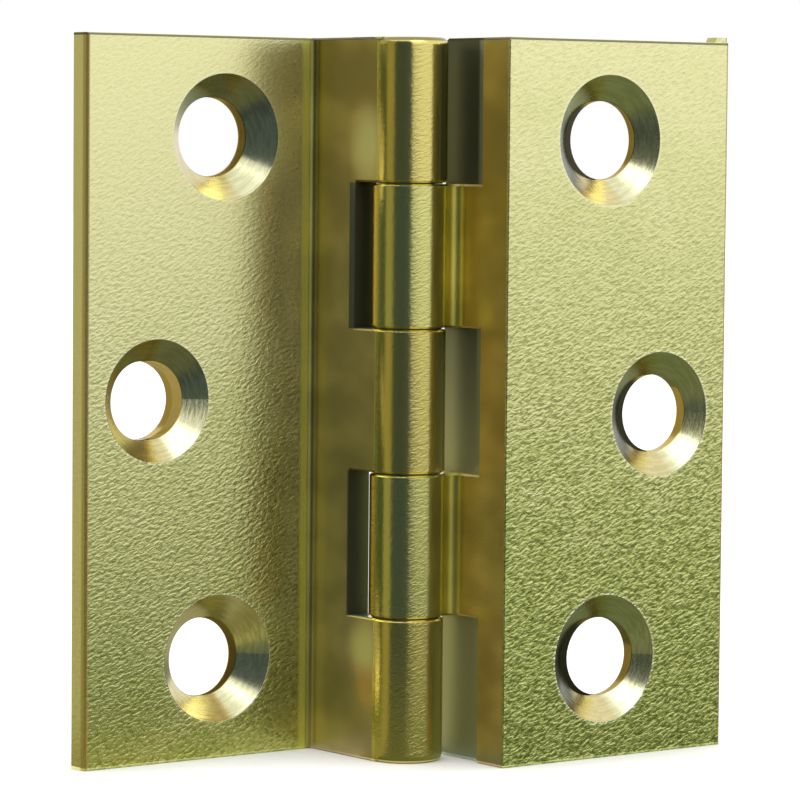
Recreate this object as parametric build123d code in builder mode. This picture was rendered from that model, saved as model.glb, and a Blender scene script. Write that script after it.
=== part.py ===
from build123d import *
from math import radians, sqrt, tan
import os

os.makedirs("parts", exist_ok=True)

# A necked brass butt hinge. The pin axis is Z and its lower end is the origin. The leaves stand open
# and parallel to XZ: the outer leaf reaches to -X behind the pin, the inner leaf to +X in front of it.
# Lengths are in millimetres.

# Overall
hinge_height = 50.0
knuckle_count = 5
leaf_thickness = 1.8
crank_depth = 7.6
outer_reach = 21.5
inner_reach = 22.8

# Barrel and pin
barrel_radius = 2.6
barrel_end_round = 0.5
pin_radius = 1.25
pin_end_chamfer = 0.2
pin_running_clearance = 0.05
knuckle_play = 0.1

# How the leaves nest when the hinge is closed
nesting_gap = 0.3
lower_slot_floor = 3.3
upper_slot_floor = 2.8
notch_reach = 4.4
notch_relief = 0.5

# Radii of the drawn section, and the broken edges of the sawn and milled faces
crease_radius = 0.45
corner_radius = 0.15
root_radius = 0.4
throat_radius = 0.7
shoulder_radius = 7.0
edge_break = 0.14

# Screw holes. An inset runs from a leaf's outer edge to the cone's axis, a rim is the cone's widest
# diameter, and a drift is how far the drill ran off that axis along X.
end_hole_height = 6.95
end_hole_drill = 5.45
mid_hole_drill = 5.4
mid_hole_drop = 1.1
outer_bottom_inset, outer_bottom_rim, outer_bottom_cone, outer_bottom_drift = 10.9, 8.85, 90.0, -0.55
outer_mid_inset, outer_mid_rim, outer_mid_cone, outer_mid_drift = 5.8, 8.45, 112.0, -0.8
outer_top_inset, outer_top_rim, outer_top_cone, outer_top_drift = 11.4, 8.75, 90.0, -0.5
inner_bottom_inset, inner_bottom_rim, inner_bottom_cone, inner_bottom_drift = 10.9, 8.9, 96.0, 0.6
inner_mid_inset, inner_mid_rim, inner_mid_cone, inner_mid_drift = 6.1, 8.7, 100.0, 0.45
inner_top_inset, inner_top_rim, inner_top_cone, inner_top_drift = 10.9, 9.05, 96.0, 0.45

# Nib left by the saw on the upper outer corner of the inner leaf
nib_width = 1.4
nib_slope = 0.35
nib_height = 0.36
nib_thickness = 1.0

# Sizes that follow from those above
pitch = hinge_height / knuckle_count
outer_leaf_knuckles = range(0, knuckle_count, 2)
inner_leaf_knuckles = range(1, knuckle_count, 2)
web_x = -barrel_radius
web_back_x = web_x + leaf_thickness
outer_face_y = crank_depth
outer_back_y = outer_face_y + leaf_thickness
flank_x = barrel_radius + nesting_gap
flank_back_x = flank_x + leaf_thickness
inner_face_y = nesting_gap - crank_depth
inner_back_y = inner_face_y + leaf_thickness
notch_x = flank_x + notch_relief
cutter_size = 2 * (barrel_radius + crank_depth)
bottom_row = end_hole_height
mid_row = hinge_height / 2
top_row = hinge_height - end_hole_height

# Arc from the web's back down to the barrel: it lies one root radius off both
root_centre_x = web_back_x + root_radius
root_centre_y = sqrt((barrel_radius + root_radius) ** 2 - root_centre_x ** 2)
root_share = barrel_radius / (barrel_radius + root_radius)

# Arc from the flank's face back to the barrel: it lies one throat radius off both
throat_centre_x = flank_x - throat_radius
throat_centre_y = -sqrt((barrel_radius + throat_radius) ** 2 - throat_centre_x ** 2)
throat_share = barrel_radius / (barrel_radius + throat_radius)

# Arc from the flank's back over the barrel: both lie inside it, and it keeps clear of the web's slots
shoulder_centre_x = flank_back_x - shoulder_radius
shoulder_centre_y = -sqrt((shoulder_radius - barrel_radius) ** 2 - shoulder_centre_x ** 2)
shoulder_share = barrel_radius / (shoulder_radius - barrel_radius)


def milled_span(index):
    """Lowest and highest Z of the cut that clears one knuckle of the other leaf."""
    below = knuckle_play / 2 if index > 0 else leaf_thickness
    above = knuckle_play / 2 if index < knuckle_count - 1 else leaf_thickness
    return index * pitch - below, (index + 1) * pitch + above


def milled_edges(leaf, is_open):
    """Outline edges of the level faces that the cuts left, where is_open holds for the edge's middle."""
    cut_heights = [k * pitch for k in range(1, knuckle_count)]
    chosen = ShapeList()
    for face in leaf.faces().filter_by(Axis.Z):
        if min(abs(face.center().Z - height) for height in cut_heights) < knuckle_play:
            chosen += [edge for edge in face.outer_wire().edges() if is_open(edge.center())]
    return chosen


def cut_screw_hole(face, x, z, drill, rim, angle, drift):
    """A drilled hole and its cone, sunk from the face of a plate at x and z."""
    cone_depth = (rim - drill) / 2 / tan(radians(angle / 2))
    with BuildSketch(face) as drilled:
        with Locations((x + drift, z)):
            Circle(drill / 2)
    extrude(to_extrude=drilled.sketch, amount=-2 * leaf_thickness, mode=Mode.SUBTRACT)
    with BuildSketch(face) as sunk:
        with Locations((x, z)):
            Circle(rim / 2)
    extrude(to_extrude=sunk.sketch, amount=-cone_depth, taper=angle / 2, mode=Mode.SUBTRACT)


# Outer leaf: a drawn section of plate, web and barrel, with slots milled for the inner leaf's knuckles
with BuildPart() as outer_leaf:
    with BuildSketch(Plane.XY):
        Circle(barrel_radius)
    extrude(amount=hinge_height)
    fillet(outer_leaf.edges().filter_by(GeomType.CIRCLE), barrel_end_round)

    with BuildSketch(Plane.XY) as outer_section:
        with BuildLine():
            root_on_web = (web_back_x, root_centre_y)
            root_on_barrel = (root_centre_x * root_share, root_centre_y * root_share)
            Polyline(
                (0, 0),
                (web_x, 0),
                (web_x, outer_face_y),
                (-outer_reach, outer_face_y),
                (-outer_reach, outer_back_y),
                (web_back_x, outer_back_y),
                root_on_web,
            )
            TangentArc(root_on_web, root_on_barrel, tangent=(0, -1))
            Line(root_on_barrel, (0, 0))
        make_face()
        fillet(outer_section.vertices().sort_by_distance((web_x, outer_face_y))[0], crease_radius)
        fillet(outer_section.vertices().sort_by_distance((web_back_x, outer_back_y))[0], corner_radius)
    extrude(amount=hinge_height)
    plate_ends = outer_leaf.edges().filter_by(Axis.X).filter_by_position(
        Axis.Y, outer_face_y, outer_back_y)
    plate_side = outer_leaf.edges().filter_by(Axis.Z).group_by(Axis.X)[0]
    chamfer(plate_ends + plate_side, edge_break)

    for index, floor_y in zip(inner_leaf_knuckles, (lower_slot_floor, upper_slot_floor)):
        low, high = milled_span(index)
        with BuildSketch(Plane.XY.offset(low)):
            with Locations((0, floor_y)):
                Rectangle(cutter_size, cutter_size, align=(Align.CENTER, Align.MAX))
        extrude(amount=high - low, mode=Mode.SUBTRACT)
    nearest_floor = min(lower_slot_floor, upper_slot_floor)
    chamfer(milled_edges(outer_leaf, lambda middle: middle.Y < nearest_floor - edge_break), edge_break)

    outer_face = Plane(origin=(0, outer_face_y, 0), x_dir=(1, 0, 0), z_dir=(0, -1, 0))
    for inset, z, drill, rim, angle, drift in (
        (outer_bottom_inset, bottom_row, end_hole_drill,
         outer_bottom_rim, outer_bottom_cone, outer_bottom_drift),
        (outer_mid_inset, mid_row, mid_hole_drill,
         outer_mid_rim, outer_mid_cone, outer_mid_drift),
        (outer_top_inset, top_row, end_hole_drill,
         outer_top_rim, outer_top_cone, outer_top_drift),
    ):
        cut_screw_hole(outer_face, inset - outer_reach, z, drill, rim, angle, drift)

    with BuildSketch(Plane.XY):
        Circle(pin_radius)
    extrude(amount=hinge_height, mode=Mode.SUBTRACT)

# Inner leaf: a drawn section of plate, flank and barrel, notched round the outer leaf's knuckles
with BuildPart() as inner_leaf:
    with BuildSketch(Plane.XY) as inner_section:
        with BuildLine():
            throat_on_flank = (flank_x, throat_centre_y)
            throat_on_barrel = (throat_centre_x * throat_share, throat_centre_y * throat_share)
            shoulder_on_flank = (flank_back_x, shoulder_centre_y)
            shoulder_on_barrel = (-shoulder_centre_x * shoulder_share, -shoulder_centre_y * shoulder_share)
            Polyline(
                shoulder_on_flank,
                (flank_back_x, inner_back_y),
                (inner_reach, inner_back_y),
                (inner_reach, inner_face_y),
                (flank_x, inner_face_y),
                throat_on_flank,
            )
            TangentArc(throat_on_flank, throat_on_barrel, tangent=(0, 1))
            Polyline(throat_on_barrel, (0, 0), shoulder_on_barrel)
            TangentArc(shoulder_on_flank, shoulder_on_barrel, tangent=(0, 1))
        make_face()
        fillet(inner_section.vertices().sort_by_distance((flank_back_x, inner_back_y))[0], crease_radius)
        fillet(inner_section.vertices().sort_by_distance((flank_x, inner_face_y))[0], corner_radius)
        Circle(barrel_radius)
    extrude(amount=hinge_height)
    plate_ends = inner_leaf.edges().filter_by(Axis.X).filter_by_position(
        Axis.Y, inner_face_y, inner_back_y)
    plate_side = inner_leaf.edges().filter_by(Axis.Z).group_by(Axis.X)[-1]
    chamfer(plate_ends + plate_side, edge_break)

    for index in outer_leaf_knuckles:
        low, high = milled_span(index)
        with BuildSketch(Plane.XY.offset(low)):
            with Locations((notch_x, -notch_reach)):
                Rectangle(cutter_size, cutter_size, align=(Align.MAX, Align.MIN))
        extrude(amount=high - low, mode=Mode.SUBTRACT)
    open_edges = milled_edges(
        inner_leaf,
        lambda middle: middle.X < notch_x - edge_break and middle.Y > edge_break - notch_reach,
    )
    chamfer(open_edges, edge_break)

    inner_face = Plane(origin=(0, inner_face_y, 0), x_dir=(1, 0, 0), z_dir=(0, -1, 0))
    inner_mid_row = mid_row - mid_hole_drop
    for inset, z, drill, rim, angle, drift in (
        (inner_bottom_inset, bottom_row, end_hole_drill,
         inner_bottom_rim, inner_bottom_cone, inner_bottom_drift),
        (inner_mid_inset, inner_mid_row, mid_hole_drill,
         inner_mid_rim, inner_mid_cone, inner_mid_drift),
        (inner_top_inset, top_row, end_hole_drill,
         inner_top_rim, inner_top_cone, inner_top_drift),
    ):
        cut_screw_hole(inner_face, inner_reach - inset, z, drill, rim, angle, drift)

    with BuildSketch(Plane.XY):
        Circle(pin_radius + pin_running_clearance)
    extrude(amount=hinge_height, mode=Mode.SUBTRACT)

    with BuildSketch(inner_face.offset(-edge_break)):
        with BuildLine():
            Polyline(
                (inner_reach - edge_break, hinge_height - 2 * edge_break),
                (inner_reach - edge_break, hinge_height + nib_height),
                (inner_reach - nib_width + nib_slope, hinge_height + nib_height),
                (inner_reach - nib_width, hinge_height - 2 * edge_break),
                close=True,
            )
        make_face()
    extrude(amount=-nib_thickness)

# Hinge pin: pressed into the outer leaf's knuckles and flush with the ends of the barrel
with BuildPart() as hinge_pin:
    with BuildSketch(Plane.XY):
        Circle(pin_radius)
    extrude(amount=hinge_height)
    chamfer(hinge_pin.edges().filter_by(GeomType.CIRCLE), pin_end_chamfer)

outer_leaf.part.label = "outer_leaf"
inner_leaf.part.label = "inner_leaf"
hinge_pin.part.label = "hinge_pin"

export_step(outer_leaf.part, "parts/outer_leaf.step")
export_step(inner_leaf.part, "parts/inner_leaf.step")
export_step(hinge_pin.part, "parts/hinge_pin.step")
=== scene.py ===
import math

import bpy
import numpy as np
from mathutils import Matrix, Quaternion, Vector


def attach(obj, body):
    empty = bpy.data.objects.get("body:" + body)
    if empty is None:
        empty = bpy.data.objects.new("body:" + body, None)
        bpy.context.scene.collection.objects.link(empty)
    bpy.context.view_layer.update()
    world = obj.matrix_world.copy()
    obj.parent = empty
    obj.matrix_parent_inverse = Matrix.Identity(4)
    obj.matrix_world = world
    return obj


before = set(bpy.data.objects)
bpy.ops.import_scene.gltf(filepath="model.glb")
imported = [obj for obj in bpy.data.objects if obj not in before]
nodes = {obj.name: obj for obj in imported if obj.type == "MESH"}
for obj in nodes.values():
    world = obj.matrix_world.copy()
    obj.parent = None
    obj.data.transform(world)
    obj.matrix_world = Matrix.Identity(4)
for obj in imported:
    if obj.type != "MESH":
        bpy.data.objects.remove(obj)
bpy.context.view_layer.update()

MM = 0.001

# Camera: the angles, distance and lens that put the hinge's corners, knuckles and hole rims where the
# photograph has them, for a picture of 800 by 800
VIEW_AZIMUTH = -37.306
VIEW_ELEVATION = 3.713
VIEW_ROLL = 0.512
VIEW_DISTANCE = 0.276957
VIEW_TARGET = (-0.000669, 0.0, 0.025032)
LENS = 180.48
SENSOR = 36.0

# Brass, with light and shade painted in: on the plates from the top down, a painted reflection on the barrel, painted
# highlights and shade in the cut holes, painted highlights and shade in the corners
PALE_BRASS = (0.98, 0.95, 0.56)
HIGH_BRASS = (0.96, 0.92, 0.49)
MID_BRASS = (0.85, 0.84, 0.38)
LOW_BRASS = (0.64, 0.69, 0.22)
GREEN_BRASS = (0.93, 0.94, 0.42)
DEEP_BRASS = (0.26, 0.29, 0.08)
LIMB_REFLECTION_BRASS = (0.78, 0.52, 0.09)
CONE_HIGHLIGHT_BRASS = (0.86, 0.84, 0.53)
KHAKI_BRASS = (0.78, 0.68, 0.36)
GOLD_BRASS = (0.82, 0.58, 0.16)
HIGHLIGHT_BRASS = (1.0, 0.96, 0.50)
YELLOW_BRASS = (0.88, 0.76, 0.18)
ORANGE_BRASS = (0.90, 0.60, 0.16)
FOLD_HIGHLIGHT_BRASS = (0.80, 0.80, 0.18)
EDGE_BRASS = (0.90, 0.84, 0.42)
SIDE_EDGE_BROWN = (0.60, 0.45, 0.13)
DARK_EDGE = (0.13, 0.15, 0.07)
SLOT_SHADE = (0.16, 0.18, 0.17)
WEB_TOP = (0.60, 0.47, 0.17)
WEB_FOOT = (0.68, 0.57, 0.36)
BEND_SHADE_BROWN = (0.36, 0.33, 0.10)
FLANK_END = (0.58, 0.47, 0.19)
FLANK_TOP = (0.68, 0.50, 0.11)
FLANK_FOOT = (0.76, 0.59, 0.31)
THROAT_YELLOW = (0.66, 0.60, 0.12)
NOTCH_TOP = (0.42, 0.48, 0.55)
NOTCH_FOOT = (0.66, 0.70, 0.62)
PIN_STEEL = (0.62, 0.61, 0.58)
SHADE_FILM_DARK = (0.05, 0.045, 0.02)
SHADE_FILM_LIGHT = (0.13, 0.12, 0.05)

# Bearing of the photographed side in degrees from +X, and the way it faces
CAMERA_SIDE = -127.4
FRONT_WAY = (math.cos(math.radians(CAMERA_SIDE)), math.sin(math.radians(CAMERA_SIDE)))

# Studio cloths as the metal sees them
CLOTH_DARK = (0.052, 0.072, 0.085)
CLOTH_FRONT = (0.14, 0.155, 0.095)
CLOTH_STRIP = (0.31, 0.29, 0.13)
CLOTH_LEFT = (0.44, 0.42, 0.26)
CLOTH_NEAR = (0.17, 0.20, 0.13)
CLOTH_FAR = (0.95, 0.97, 0.95)

# Screw holes of each leaf, in millimetres: x and z of the cone, radius of its rim, drift and radius of the drill
OUTER_HOLES = (
    (-10.6, 6.95, 4.425, -0.55, 2.725),
    (-15.7, 25.0, 4.225, -0.8, 2.7),
    (-10.1, 43.05, 4.375, -0.5, 2.725),
)
INNER_HOLES = (
    (11.9, 6.95, 4.45, 0.6, 2.725),
    (16.7, 23.9, 4.35, 0.45, 2.7),
    (11.9, 43.05, 4.525, 0.45, 2.725),
)
BARREL_RADIUS = 2.6
OUTER_FACE_Y = 7.6
INNER_FACE_Y = -7.3
PLATE_THICKNESS = 1.8
HINGE_HEIGHT = 50.0

# Other places on the leaves, in millimetres
BEND_X = -3.0
FOLD_X = -3.35
SLOT_FLOOR_Y = 3.4
SLOT_PITCH = 20.0
SLOT_MIDDLE = 15.0
OUTER_SIDE_X = -21.43
INNER_SIDE_X = 22.73
NOTCH_FACE_X = (3.2, 3.6)
MIDDLE_ROW = (9.0, 7.0)
HOLE_REACH = 3.0

# Spots of painted highlight on the web and the flank: middle and half size over y and z, in millimetres
WEB_SPOT_HIGH = ((1.35, 42.5), (2.7, 4.0))
WEB_SPOT_LOW = ((1.3, 7.7), (2.6, 3.0))
WEB_SPOT_ORANGE = ((1.0, 5.2), (2.0, 2.4))
FLANK_SPOT_HIGH = ((-4.9, 31.0), (1.3, 1.7))
FLANK_SPOT_LOW = ((-4.9, 10.5), (1.3, 1.0))

# Sectors of a cone with painted shade and reflections, in degrees clockwise from the top: where each fades out above
# and where it fades in below
CONE_RIGHT = ((118.0, 110.0), (45.0, 65.0))
CONE_UPPER = ((78.0, 50.0), (-108.0, -96.0))
CONE_LEFT = ((-50.0, -80.0), (-158.0, -132.0))
SECTOR_WANDER = 24.0

# Grain of the skin, as noise cells to the millimetre along x, y and z. Pebbles and nicks are drawn out along a
# line that rises to the right
SLANT = (0, math.radians(20), 0)
PEBBLE_GRAIN = (2.3, 2.5, 4.7)
NICK_GRAIN = (2.1, 1.0, 5.8)
CLOUD_GRAIN = (1.0, 1.0, 1.6)
RING_GRAIN = (0.4, 0.4, 12.0)
CLOUD_SIZE, GRIT_SIZE, PATCH_SIZE = 0.16, 5.0, 1.5

# Relief as strength and depth in millimetres, and roughness: of the plates and of cut or rubbed metal, and what
# grit and a dull place add
BRASS_RELIEF = (0.95, 0.07)
STEEL_RELIEF = (0.3, 0.02)
PLATE_ROUGH, CUT_ROUGH, GRIT_ROUGH, DULL_ROUGH = 0.22, 0.16, 0.08, 0.25

# Joints of the barrel: lowest and highest z of the film in each, and its inner and outer radius, in millimetres
FILM_HEIGHTS = ((9.94, 10.02), (19.98, 20.06), (29.94, 30.02), (39.98, 40.06))
FILM_BORE, FILM_RIM, FILM_WAVE = 1.3, 2.3, 0.08

# Stage: reach of the floor, and of the table cloth and the curtain, in metres
FLOOR_REACH = 2.0
TABLE_REACH = (0.0005, 2.5)
TABLE_LIFT = 0.0002
CURTAIN_REACH = 1.5
CURTAIN_HEIGHT = 1.3
CURTAIN_ENDS = (CAMERA_SIDE - 138.0, CAMERA_SIDE + 6.0)
FLOOR_GREY = (0.8, 0.8, 0.8, 1.0)
FLOOR_GLOW = 0.85
SHADE_REACH = 0.012
FILL_GREY = (0.5, 0.5, 0.5, 1.0)
WHITE = (1.0, 1.0, 1.0, 1.0)

# Cloths, seen from the photographed side: bearings in degrees where the colour turns, and distances in
# millimetres: where the right cloth starts to pale and is palest, and where the near patch in front fades
STRIP_SIDE = (-48.0, -52.0)
LEFT_SIDE = (-84.0, -90.0)
RIGHT_SIDE = (0.0, 44.0)
PALING = (20.0, 2500.0)
FRONT_PATCH = (45.0, 22.0)

# Key lamp: bearing and height in degrees, distance and size in metres, power in watts
KEY_AZIMUTH, KEY_ELEVATION = -100.0, 48.0
KEY_DISTANCE = 0.8
KEY_SIZE = (0.5, 0.4)
KEY_POWER = 0.8


class Shop:
    """Node bench for one material: each call lays down one node and returns its output."""

    def __init__(self, tree):
        self.tree = tree

    def add(self, kind, **settings):
        node = self.tree.nodes.new(kind)
        for key, value in settings.items():
            setattr(node, key, value)
        return node

    def feed(self, socket, value):
        if isinstance(value, bpy.types.NodeSocket):
            self.tree.links.new(value, socket)
        else:
            socket.default_value = value

    def calc(self, operation, *values, clamp=False):
        node = self.add("ShaderNodeMath", operation=operation, use_clamp=clamp)
        for socket, value in zip(node.inputs, values):
            self.feed(socket, value)
        return node.outputs[0]

    def minus(self, first, second):
        return self.calc("SUBTRACT", first, second)

    def off(self, value, middle):
        """How far a value is from a middle, either way."""
        return self.calc("ABSOLUTE", self.minus(value, middle))

    def largest(self, *values):
        result = values[0]
        for value in values[1:]:
            result = self.calc("MAXIMUM", result, value)
        return result

    def product(self, *values):
        result = values[0]
        for value in values[1:]:
            result = self.calc("MULTIPLY", result, value)
        return result

    def hypotenuse(self, first, second):
        return self.calc("SQRT", self.calc("ADD", self.product(first, first), self.product(second, second)))

    def place(self, rotation=(0, 0, 0)):
        """The object's own coordinates, in millimetres."""
        return self.turn(self.add("ShaderNodeTexCoord").outputs["Object"], scale=(1 / MM,) * 3, rotation=rotation)

    def split(self, vector):
        node = self.add("ShaderNodeSeparateXYZ")
        self.feed(node.inputs[0], vector)
        return node.outputs

    def join(self, x, y, z):
        node = self.add("ShaderNodeCombineXYZ")
        for socket, value in zip(node.inputs, (x, y, z)):
            self.feed(socket, value)
        return node.outputs[0]

    def scaled(self, vector, scale):
        node = self.add("ShaderNodeVectorMath", operation="SCALE")
        self.feed(node.inputs[0], vector)
        self.feed(node.inputs["Scale"], scale)
        return node.outputs[0]

    def turn(self, coords, scale=(1, 1, 1), rotation=(0, 0, 0)):
        node = self.add("ShaderNodeMapping")
        self.feed(node.inputs["Vector"], coords)
        node.inputs["Scale"].default_value = scale
        node.inputs["Rotation"].default_value = rotation
        return node.outputs[0]

    def noise(self, coords, scale, detail=2.0, roughness=0.5, distortion=0.0):
        node = self.add("ShaderNodeTexNoise")
        self.feed(node.inputs["Vector"], coords)
        for name, value in (("Scale", scale), ("Detail", detail), ("Roughness", roughness),
                            ("Distortion", distortion)):
            node.inputs[name].default_value = value
        return node.outputs["Fac"]

    def span(self, value, low, high, start=0.0, end=1.0, smooth=True):
        node = self.add("ShaderNodeMapRange", interpolation_type="SMOOTHSTEP" if smooth else "LINEAR", clamp=True)
        names = ("Value", "From Min", "From Max", "To Min", "To Max")
        for name, item in zip(names, (value, low, high, start, end)):
            self.feed(node.inputs[name], item)
        return node.outputs[0]

    def blend(self, share, first, second):
        node = self.add("ShaderNodeMix", data_type="RGBA")
        self.feed(node.inputs["Factor"], share)
        for socket, value in ((node.inputs["A"], first), (node.inputs["B"], second)):
            self.feed(socket, value if isinstance(value, bpy.types.NodeSocket) else (*value, 1.0))
        return node.outputs["Result"]

    def bump(self, height, strength, depth):
        """Surface relief; depth in millimetres."""
        node = self.add("ShaderNodeBump")
        node.inputs["Strength"].default_value = strength
        node.inputs["Distance"].default_value = depth * MM
        self.feed(node.inputs["Height"], height)
        return node.outputs[0]

    def metal(self, output, colour, roughness, normal):
        node = self.add("ShaderNodeBsdfPrincipled")
        node.inputs["Metallic"].default_value = 1.0
        self.feed(node.inputs["Base Color"], colour)
        self.feed(node.inputs["Roughness"], roughness)
        self.feed(node.inputs["Normal"], normal)
        self.feed(output.inputs["Surface"], node.outputs[0])


def shade(colour, share):
    """A colour times a number."""
    return tuple(share * part for part in colour)


def bench(name):
    """A material with an empty node bench and a surface output."""
    material = bpy.data.materials.new(name)
    material.use_nodes = True
    material.node_tree.nodes.clear()
    shop = Shop(material.node_tree)
    return material, shop, shop.add("ShaderNodeOutputMaterial")


def around_holes(shop, x, z, holes):
    """Millimetres past the nearest rim, and past its drilled wall or ledge, and degrees clockwise round that hole."""
    past_rim = past_wall = turned = None
    for hole_x, hole_z, rim_radius, drift, drill_radius in holes:
        across, up = shop.minus(x, hole_x), shop.minus(z, hole_z)
        from_cone = shop.hypotenuse(across, up)
        from_drill = shop.hypotenuse(shop.minus(across, drift), up)
        rim = shop.minus(from_cone, rim_radius)
        wall = shop.minus(shop.calc("MINIMUM", from_cone, from_drill), drill_radius)
        angle = shop.product(shop.calc("DEGREES", shop.calc("ARCTAN2", across, up)),
                             shop.calc("LESS_THAN", rim, HOLE_REACH))
        past_rim = rim if past_rim is None else shop.calc("MINIMUM", past_rim, rim)
        past_wall = wall if past_wall is None else shop.calc("MINIMUM", past_wall, wall)
        turned = angle if turned is None else shop.calc("ADD", turned, angle)
    return past_rim, past_wall, turned


def cone_colour(shop, turned, marks, upper, right, left):
    """Colours round a cone, painted light and shade: a painted highlight low on the right, khaki below, painted shade
    and reflections above and at the sides.
    """
    wander = shop.calc("ADD", turned, shop.product(shop.minus(marks, 0.5), SECTOR_WANDER))
    below = shop.largest(shop.span(turned, 158.0, 168.0), shop.span(turned, -112.0, -128.0))
    colour = shop.blend(below, CONE_HIGHLIGHT_BRASS, KHAKI_BRASS)
    for paint, (fade_out, fade_in) in ((right, CONE_RIGHT), (upper, CONE_UPPER), (left, CONE_LEFT)):
        sector = shop.product(shop.span(wander, *fade_out), shop.span(wander, *fade_in))
        colour = shop.blend(sector, colour, paint)
    return shop.blend(shop.span(marks, 0.6, 0.4, 0.0, 0.22), colour, DEEP_BRASS)


def blob(shop, first, second, middle, size):
    """1 in the middle of an ellipse over two coordinates, fading to 0 at its outline."""
    reach = shop.hypotenuse(shop.product(shop.minus(first, middle[0]), 1 / size[0]),
                            shop.product(shop.minus(second, middle[1]), 1 / size[1]))
    return shop.span(reach, 1.0, 0.15)


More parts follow.
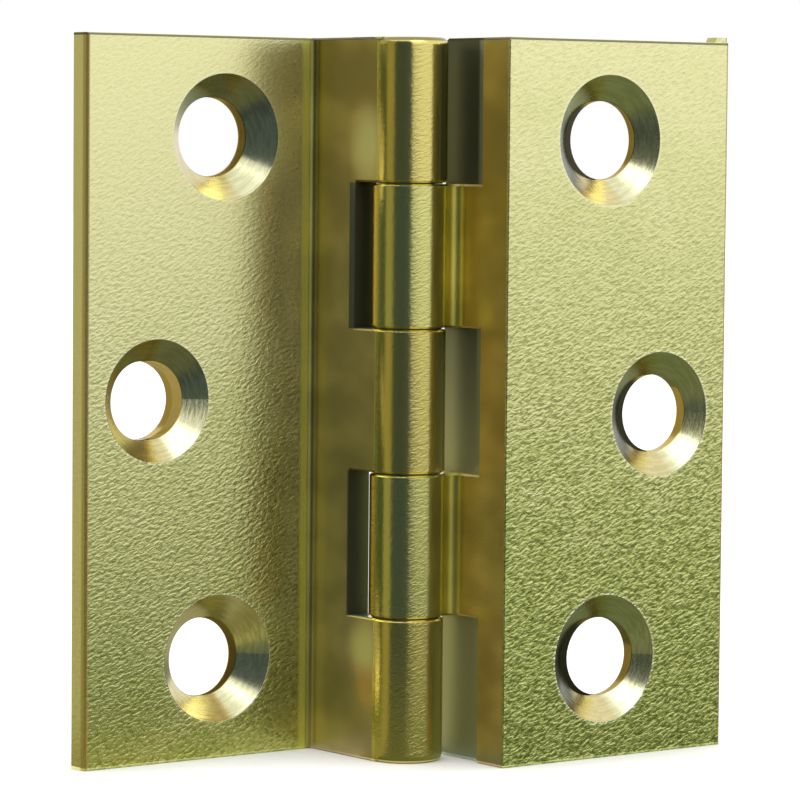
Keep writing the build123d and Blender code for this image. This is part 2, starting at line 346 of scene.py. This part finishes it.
def leaf_brass(name, leaf):
    """Drawn brass: pebbled plates, nicked barrel, cut cones, with painted shade in the corners, slots and holes, and
    painted highlights and reflections on the plates, barrel, web, flank and cones.
    """
    material, shop, output = bench(name)
    place = shop.place()
    x, y, z = shop.split(place)

    # where the metal is: in a screw hole, on its drilled wall, on the barrel, in a corner, a slot or the fold,
    # on a spot of painted highlight or an edge
    past_rim, past_wall, turned = around_holes(shop, x, z, leaf["holes"])
    face_y, side_x = leaf["face_y"], leaf["side_x"]
    back_y = face_y + PLATE_THICKNESS
    in_front = shop.span(y, face_y + 0.3, face_y + 0.2)
    in_hole = shop.product(shop.span(past_rim, 0.02, -0.02), shop.span(y, back_y - 0.02, back_y - 0.04))
    drilled = shop.product(in_hole, shop.span(past_wall, 0.05, 0.02))
    on_barrel = shop.span(shop.hypotenuse(x, y), BARREL_RADIUS + 0.03, BARREL_RADIUS + 0.01)
    off_barrel = shop.minus(1.0, on_barrel)
    in_corner = shop.product(leaf["corner"](shop, x, y, z), off_barrel)
    in_slot, slot_colour = leaf["slot"](shop, x, y, z)
    in_slot = shop.product(in_slot, off_barrel)
    in_fold = leaf["fold"](shop, x, y, z)
    painted_highlight, painted_highlight_colour = leaf["painted_highlight"](shop, x, y, z)
    painted_highlight = shop.product(painted_highlight, in_corner)
    low = shop.span(z, HINGE_HEIGHT, 0.0, smooth=False)
    edge_face = shop.span(shop.calc("ABSOLUTE", x), abs(side_x), abs(side_x) + 0.05)
    side_edge = shop.product(shop.span(shop.off(x, side_x), 0.2, 0.12), shop.span(y, face_y + 0.65, face_y + 0.35))
    top_edge = shop.product(shop.span(shop.off(z, HINGE_HEIGHT - 0.1), 0.09, 0.06), off_barrel)
    barrel_top = shop.product(on_barrel, shop.span(z, HINGE_HEIGHT - 0.3, HINGE_HEIGHT - 0.2),
                              shop.span(z, HINGE_HEIGHT - 0.01, HINGE_HEIGHT - 0.04))

    # barrel unrolled from the line on the photographed side: radians and degrees round it
    sideways = shop.minus(shop.product(y, FRONT_WAY[0]), shop.product(x, FRONT_WAY[1]))
    towards = shop.calc("ADD", shop.product(x, FRONT_WAY[0]), shop.product(y, FRONT_WAY[1]))
    unrolled = shop.calc("ARCTAN2", sideways, towards)
    round_barrel = shop.calc("DEGREES", unrolled)
    limb = shop.product(shop.span(round_barrel, -50.0, -60.0), shop.span(round_barrel, -130.0, -95.0))

    # pebbles on the plates, nicks on the barrel, clouds of tarnish, grit in the gloss, turning marks in the holes
    pebble = shop.noise(shop.turn(shop.turn(place, rotation=SLANT), scale=PEBBLE_GRAIN), 1.0,
                        roughness=0.42, distortion=0.4)
    flat_barrel = shop.join(shop.product(unrolled, BARREL_RADIUS), 0.0, z)
    nick = shop.noise(shop.turn(shop.turn(flat_barrel, rotation=SLANT), scale=NICK_GRAIN), 1.0,
                      roughness=0.6, distortion=0.5)
    cloud = shop.noise(shop.turn(place, scale=CLOUD_GRAIN), CLOUD_SIZE)
    grit = shop.noise(place, GRIT_SIZE, detail=1.0)
    marks = shop.noise(shop.join(shop.product(past_rim, 6.0), shop.product(turned, 0.03), z), 1.0)

    # relief: pebbles fade from the foot to the top, and in the corners and the fold
    smoothed = shop.largest(in_hole, on_barrel, shop.product(in_corner, 0.85), shop.product(in_fold, 0.7))
    skin = shop.minus(1.0, smoothed)
    height = shop.calc("ADD", shop.product(pebble, skin, shop.span(low, 0.1, 0.75, 0.22, 1.0), leaf["relief"]),
                      shop.product(nick, on_barrel, shop.span(low, 0.0, 1.0, 0.24, 0.32)))
    height = shop.calc("ADD", height, shop.product(marks, in_hole, 0.1))

    # colour, with painted light and shade: a painted reflection, paler high on the plate and olive low down, painted
    # highlights on the pebbles' crests and painted shade in the hollows between the pebbles, both stronger low down
    level = shop.calc("ADD", shop.calc("ADD", low, leaf["lower"]), shop.product(shop.minus(cloud, 0.5), 0.5))
    ground = shop.blend(shop.span(level, 0.1, 0.5), HIGH_BRASS, MID_BRASS)
    ground = shop.blend(shop.span(level, 0.5, 0.95), ground, LOW_BRASS)
    hollow = shop.product(shop.span(pebble, 0.52, 0.34), shop.span(low, 0.1, 0.85, 0.12, 0.8), leaf["relief"])
    crest = shop.product(shop.span(pebble, 0.53, 0.68), shop.span(low, 0.1, 0.85, 0.25, 0.85), leaf["relief"])
    colour = shop.blend(crest, shop.blend(hollow, ground, DEEP_BRASS), shop.blend(low, PALE_BRASS, GREEN_BRASS))
    # painted highlight: a pale band round the front of each hole's rim
    colour = shop.blend(shop.product(shop.span(past_rim, 0.2, 0.12), in_front, 0.85), colour, PALE_BRASS)
    # painted shade in the corners, on the web and the flank, varied at random by the clouds
    corner_shade = shop.scaled(leaf["corner_shade"](shop, x, y, low), shop.span(cloud, 0.35, 0.7, 0.82, 1.18))
    colour = shop.blend(in_corner, colour, corner_shade)
    # painted shade in the slots and notches, and a painted grey reflection on the notch faces
    colour = shop.blend(in_slot, colour, slot_colour)
    # painted highlights on the web and the flank
    colour = shop.blend(painted_highlight, colour, painted_highlight_colour)
    # painted highlight: an olive-yellow band on the plate beside the bend
    colour = shop.blend(in_fold, colour, FOLD_HIGHLIGHT_BRASS)
    colour = shop.blend(shop.product(edge_face, 0.7), colour, EDGE_BRASS)
    # darker brown along the front of the side edges
    colour = shop.blend(shop.product(side_edge, 0.8), colour, SIDE_EDGE_BROWN)
    colour = shop.blend(shop.product(top_edge, 0.85), colour, DARK_EDGE)
    # painted reflection: an orange band down the barrel's limb, at a fixed bearing round the pin axis
    barrel = shop.blend(shop.product(limb, leaf["limb_reflection"]), leaf["barrel"], LIMB_REFLECTION_BRASS)
    barrel = shop.blend(shop.product(barrel_top, 0.75), barrel, DARK_EDGE)
    colour = shop.blend(on_barrel, colour, barrel)
    # painted light and shade in the cones: highlights, reflections and shade by sector round each hole
    colour = shop.blend(in_hole, colour, cone_colour(shop, turned, marks, leaf["upper"], leaf["right"], leaf["left"]))
    # painted shade on the drilled walls: darker on the top and bottom rows than in the middle one, and a darker
    # colour on the left
    middle_row = shop.span(shop.off(z, HINGE_HEIGHT / 2), *MIDDLE_ROW)
    wall = shop.blend(middle_row, shade(GOLD_BRASS, 0.5), shade(GOLD_BRASS, 0.75))
    colour = shop.blend(drilled, colour, shop.blend(shop.span(turned, -10.0, -35.0), wall, leaf["left_wall_shade"]))

    # gloss: the cut and rubbed metal is the shiniest, corners and edges are dull
    smooth = shop.largest(in_hole, on_barrel)
    dull = shop.largest(in_fold, side_edge, top_edge, shop.product(painted_highlight, 1.8),
                        shop.product(in_corner, leaf["dull"]), shop.product(in_slot, 0.8))
    rough = shop.calc("ADD", shop.span(smooth, 0.0, 1.0, PLATE_ROUGH, CUT_ROUGH), shop.product(grit, GRIT_ROUGH))
    rough = shop.calc("ADD", rough, shop.product(dull, DULL_ROUGH))
    shop.metal(output, colour, rough, shop.bump(height, *BRASS_RELIEF))
    return material


def outer_corner(shop, x, y, z):
    """The web between plate and barrel, and the bend."""
    bend = shop.product(shop.span(x, BEND_X - 0.08, BEND_X), shop.span(y, OUTER_FACE_Y + 0.1, OUTER_FACE_Y + 0.05))
    return shop.largest(bend, shop.span(y, OUTER_FACE_Y - 0.1, OUTER_FACE_Y - 0.4))


def outer_slot(shop, x, y, z):
    """The end faces of the two slots, level with the second and fourth knuckle, and their colour, a painted shade."""
    beside = shop.calc("LESS_THAN", shop.off(shop.calc("MODULO", z, SLOT_PITCH), SLOT_MIDDLE), 5.1)
    return shop.product(beside, shop.span(y, SLOT_FLOOR_Y + 0.05, SLOT_FLOOR_Y - 0.02)), SLOT_SHADE


def outer_fold(shop, x, y, z):
    """A narrow band of the plate beside the bend, where a highlight is painted."""
    beside = shop.span(shop.off(x, FOLD_X), 0.55, 0.1)
    return shop.product(beside, shop.span(y, OUTER_FACE_Y - 0.1, OUTER_FACE_Y - 0.05),
                        shop.span(y, OUTER_FACE_Y + 0.2, OUTER_FACE_Y + 0.1))


def outer_highlights(shop, x, y, z):
    """Two painted highlights on the web, beside the first and the last knuckle, the last one orange below."""
    upper, lower, under = (blob(shop, y, z, *spot) for spot in (WEB_SPOT_HIGH, WEB_SPOT_LOW, WEB_SPOT_ORANGE))
    mask = shop.product(shop.largest(upper, lower, shop.product(under, 0.7)), shop.span(x, -2.2, -2.4), 0.9)
    return mask, shop.blend(shop.span(z, 7.2, 5.4), HIGHLIGHT_BRASS, ORANGE_BRASS)


def outer_corner_shade(shop, x, y, low):
    """Painted shade on the web: brown, greyer towards the foot, and darker painted shade in the bend itself."""
    web = shop.blend(low, WEB_TOP, WEB_FOOT)
    return shop.blend(shop.span(x, -2.62, -2.7), web, BEND_SHADE_BROWN)


def inner_corner(shop, x, y, z):
    """The flank between plate and barrel."""
    return shop.product(shop.span(y, INNER_FACE_Y + 0.05, INNER_FACE_Y + 0.25), shop.span(x, 5.0, 4.8))


def inner_slot(shop, x, y, z):
    """The set-back faces of the notches round the outer leaf's knuckles, and their colour: a painted grey reflection,
    greyer towards the top, with painted shade at the back higher up.
    """
    near_x, far_x = NOTCH_FACE_X
    mask = shop.product(shop.span(x, near_x, near_x + 0.1), shop.span(x, far_x, far_x - 0.1),
                        shop.span(y, -4.5, -4.35))
    colour = shop.blend(shop.span(z, 12.0, 38.0), NOTCH_FOOT, NOTCH_TOP)
    return mask, shop.blend(shop.product(shop.span(y, -3.55, -3.2), shop.span(z, 20.0, 38.0)), colour, SLOT_SHADE)


def inner_fold(shop, x, y, z):
    """The inner leaf shows no bend from inside."""
    return 0.0


def inner_highlights(shop, x, y, z):
    """Two small painted yellow highlights on the flank, above the third and the fifth knuckle."""
    mask = shop.largest(blob(shop, y, z, *FLANK_SPOT_HIGH), blob(shop, y, z, *FLANK_SPOT_LOW))
    return shop.product(mask, shop.span(x, 3.3, 3.1), 0.4), YELLOW_BRASS


def inner_corner_shade(shop, x, y, low):
    """Painted shade on the flank: brown, lighter towards the foot and duller at its upper end, and a painted yellow
    reflection in the throat.
    """
    flank = shop.blend(low, FLANK_TOP, FLANK_FOOT)
    flank = shop.blend(shop.span(low, 0.22, 0.18), flank, FLANK_END)
    return shop.blend(shop.span(y, -2.9, -1.6), flank, THROAT_YELLOW)


def pin_steel(name):
    """Turned steel: fine rings on a bright grey."""
    material, shop, output = bench(name)
    rings = shop.noise(shop.turn(shop.place(), scale=RING_GRAIN), 1.0)
    colour = shop.blend(shop.span(rings, 0.3, 0.7), shade(PIN_STEEL, 0.8), PIN_STEEL)
    shop.metal(output, colour, shop.span(rings, 0.3, 0.7, 0.25, 0.4), shop.bump(rings, *STEEL_RELIEF))
    return material


def seen_rays(shop):
    """1 for the rays that show the background: camera, glossy and transmission rays."""
    path = shop.add("ShaderNodeLightPath")
    both = shop.calc("ADD", path.outputs["Is Camera Ray"], path.outputs["Is Glossy Ray"], clamp=True)
    return shop.calc("ADD", both, path.outputs["Is Transmission Ray"], clamp=True)


def floor_paper(name):
    """White paper: a diffuse sheet that keeps the shadow, lifted to the white of the background; ambient occlusion
    dims the lift near the hinge, a painted contact shade.
    """
    material, shop, output = bench(name)
    sheet = shop.add("ShaderNodeBsdfDiffuse")
    sheet.inputs["Color"].default_value = FLOOR_GREY
    # painted contact shade: ambient occlusion dims the floor's lift near the hinge
    open_sky = shop.add("ShaderNodeAmbientOcclusion", samples=8)
    open_sky.inputs["Distance"].default_value = SHADE_REACH
    glow = shop.add("ShaderNodeEmission")
    level = shop.product(open_sky.outputs["AO"], FLOOR_GLOW)
    shop.feed(glow.inputs["Strength"], shop.product(seen_rays(shop), level))
    both = shop.add("ShaderNodeAddShader")
    shop.feed(both.inputs[0], sheet.outputs[0])
    shop.feed(both.inputs[1], glow.outputs[0])
    shop.feed(output.inputs["Surface"], both.outputs[0])
    return material


def studio_cloth(name):
    """Cloth round the hinge: near black on the camera's side, olive on the left, paler far off on the right."""
    material, shop, output = bench(name)
    x, y, _ = shop.split(shop.place(rotation=(0, 0, -math.radians(CAMERA_SIDE))))
    bearing = shop.calc("DEGREES", shop.calc("ARCTAN2", y, x))
    reach = shop.hypotenuse(x, y)
    far = shop.span(shop.calc("LOGARITHM", reach, 10.0), *(math.log10(end) for end in PALING), smooth=False)
    right = shop.blend(shop.product(far, far), CLOTH_NEAR, CLOTH_FAR)
    front = shop.blend(shop.span(reach, *FRONT_PATCH), CLOTH_DARK, CLOTH_FRONT)
    side = shop.blend(shop.span(bearing, *STRIP_SIDE), front, CLOTH_STRIP)
    side = shop.blend(shop.span(bearing, *LEFT_SIDE), side, CLOTH_LEFT)
    glow = shop.add("ShaderNodeEmission")
    shop.feed(glow.inputs["Color"], shop.blend(shop.span(bearing, *RIGHT_SIDE), side, right))
    shop.feed(output.inputs["Surface"], glow.outputs[0])
    return material


def joint_shade_film(name):
    """A dark film, painted shade standing in for the shadow in the joint gaps: near black and shinier in patches."""
    material, shop, output = bench(name)
    film_patches = shop.noise(shop.place(), PATCH_SIZE, detail=3.0)
    film = shop.add("ShaderNodeBsdfPrincipled")
    shop.feed(film.inputs["Base Color"], shop.blend(shop.span(film_patches, 0.35, 0.65), SHADE_FILM_DARK, SHADE_FILM_LIGHT))
    shop.feed(film.inputs["Roughness"], shop.span(film_patches, 0.35, 0.65, 0.35, 0.6))
    shop.feed(output.inputs["Surface"], film.outputs[0])
    return material


def surface(name, points, material, closed=False):
    """A mesh over a grid of points, rows by columns by 3, with one face for each square of the grid."""
    rows, columns = points.shape[:2]
    index = np.arange(rows * columns).reshape(rows, columns)
    if closed:
        index = np.pad(index, ((0, 1), (0, 1)), mode="wrap")
    faces = np.stack([index[:-1, :-1], index[:-1, 1:], index[1:, 1:], index[1:, :-1]], axis=-1).reshape(-1, 4)
    mesh = bpy.data.meshes.new(name)
    mesh.from_pydata(points.reshape(-1, 3), [], faces)
    mesh.update()
    mesh.materials.append(material)
    piece = bpy.data.objects.new(name, mesh)
    bpy.context.scene.collection.objects.link(piece)
    return piece


def ring_floor(name, reaches, height, material, steps=48):
    """Flat ring: point = (r cos a, r sin a, height), with both values of reaches as r and a all the way round."""
    reach, angle = np.meshgrid(np.array(reaches), np.radians(np.linspace(0.0, 360.0, steps)), indexing="ij")
    points = np.stack([reach * np.cos(angle), reach * np.sin(angle), np.full_like(reach, height)], axis=-1)
    return surface(name, points, material)


def curved_wall(name, radius, bearings, top, material, steps=48):
    """Upright wall: point = (radius cos a, radius sin a, z), with a between the bearings and z from 0 to top."""
    height, angle = np.meshgrid(np.array([0.0, top]), np.radians(np.linspace(*bearings, steps)), indexing="ij")
    points = np.stack([radius * np.cos(angle), radius * np.sin(angle), height], axis=-1)
    return surface(name, points, material)


def film_ring(name, low, high, material, steps=72):
    """Film in a joint: point = (r cos a, r sin a, z) at each corner of a section; r = bore, or rim + wave cos 3a."""
    angle = np.linspace(0.0, 2 * np.pi, steps, endpoint=False)
    rim = FILM_RIM + FILM_WAVE * np.cos(3 * angle)
    bore = np.full_like(angle, FILM_BORE)
    points = np.stack([np.stack([r * np.cos(angle), r * np.sin(angle), np.full_like(r, z)], axis=-1)
                       for r, z in ((bore, low), (rim, low), (rim, high), (bore, high))])
    return surface(name, points * MM, material, closed=True)


# Finishes of the three pieces
finishes = {
    "outer_leaf": leaf_brass("outer_leaf_brass", {
        "holes": OUTER_HOLES, "face_y": OUTER_FACE_Y, "side_x": OUTER_SIDE_X, "corner": outer_corner,
        "slot": outer_slot, "fold": outer_fold, "painted_highlight": outer_highlights, "corner_shade": outer_corner_shade, "relief": 0.6,
        "limb_reflection": 0.0, "lower": -0.2, "dull": 0.4, "barrel": (0.82, 0.70, 0.23), "upper": (0.66, 0.61, 0.35),
        "right": (0.98, 0.95, 0.55), "left": KHAKI_BRASS, "left_wall_shade": (0.36, 0.24, 0.06),
    }),
    "inner_leaf": leaf_brass("inner_leaf_brass", {
        "holes": INNER_HOLES, "face_y": INNER_FACE_Y, "side_x": INNER_SIDE_X, "corner": inner_corner,
        "slot": inner_slot, "fold": inner_fold, "painted_highlight": inner_highlights, "corner_shade": inner_corner_shade, "relief": 1.0,
        "limb_reflection": 1.0, "lower": 0.12, "dull": 0.56, "barrel": (0.79, 0.75, 0.28), "upper": (0.73, 0.70, 0.33),
        "right": (0.90, 0.82, 0.42), "left": (0.07, 0.07, 0.035), "left_wall_shade": (0.07, 0.065, 0.035),
    }),
    "hinge_pin": pin_steel("hinge_pin_steel"),
}
for node_name, finish in finishes.items():
    piece = nodes[node_name]
    for slot in piece.material_slots:
        slot.material = finish

# Thin dark film in the four joints of the barrel, on the end faces of the outer leaf's knuckles: painted shade that
# stands in for the shadow in the joint gaps
joint_shade = joint_shade_film("joint_shade_film")
for number, (low, high) in enumerate(FILM_HEIGHTS, start=1):
    film = film_ring(f"joint_film_{number}", low, high, joint_shade)
    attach(film, "outer_leaf")

# Floor
floor = ring_floor("floor", (0.0, FLOOR_REACH), 0.0, floor_paper("floor_paper"))

# Dark cloths that only the metal sees, all out of the picture: on the table in front and at the sides,
# and a curtain on the camera's side
cloth = studio_cloth("studio_cloth")
table = ring_floor("table_cloth", TABLE_REACH, TABLE_LIFT, cloth)
curtain = curved_wall("curtain", CURTAIN_REACH, CURTAIN_ENDS, CURTAIN_HEIGHT, cloth)
for piece in (table, curtain):
    piece.visible_camera = False
    piece.visible_diffuse = False
    piece.visible_shadow = False

# Background and fill
world = bpy.data.worlds.new("studio")
bpy.context.scene.world = world
world.use_nodes = True
world.node_tree.nodes.clear()
shop = Shop(world.node_tree)
fill = shop.add("ShaderNodeBackground")
fill.inputs["Color"].default_value = FILL_GREY
white = shop.add("ShaderNodeBackground")
white.inputs["Color"].default_value = WHITE
choice = shop.add("ShaderNodeMixShader")
shop.feed(choice.inputs["Fac"], seen_rays(shop))
shop.feed(choice.inputs[1], fill.outputs[0])
shop.feed(choice.inputs[2], white.outputs[0])
shop.feed(shop.add("ShaderNodeOutputWorld").inputs["Surface"], choice.outputs[0])

# Key light: one large soft box, high and in front
key = bpy.data.lights.new("key", "AREA")
key.shape = "RECTANGLE"
key.size, key.size_y = KEY_SIZE
key.energy = KEY_POWER
lamp = bpy.data.objects.new("key", key)
bpy.context.scene.collection.objects.link(lamp)
side, height = math.radians(KEY_AZIMUTH), math.radians(KEY_ELEVATION)
towards_lamp = Vector((math.cos(side) * math.cos(height), math.sin(side) * math.cos(height), math.sin(height)))
lamp.location = towards_lamp * KEY_DISTANCE
lamp.rotation_euler = (-lamp.location).to_track_quat("-Z", "Y").to_euler()

# Camera
azimuth, elevation = math.radians(VIEW_AZIMUTH), math.radians(VIEW_ELEVATION)
ahead = Vector((-math.sin(azimuth) * math.cos(elevation),
                math.cos(azimuth) * math.cos(elevation),
                -math.sin(elevation)))
camera_data = bpy.data.cameras.new("camera")
camera_data.sensor_fit = "HORIZONTAL"
camera_data.sensor_width = SENSOR
camera_data.lens = LENS
camera_data.clip_start, camera_data.clip_end = 0.01, 20.0
camera = bpy.data.objects.new("camera", camera_data)
bpy.context.scene.collection.objects.link(camera)
camera.rotation_mode = "QUATERNION"
camera.location = Vector(VIEW_TARGET) - ahead * VIEW_DISTANCE
camera.rotation_quaternion = ahead.to_track_quat("-Z", "Y") @ Quaternion((0, 0, 1), math.radians(VIEW_ROLL))
bpy.context.scene.camera = camera
bpy.context.scene.view_settings.view_transform = "Standard"
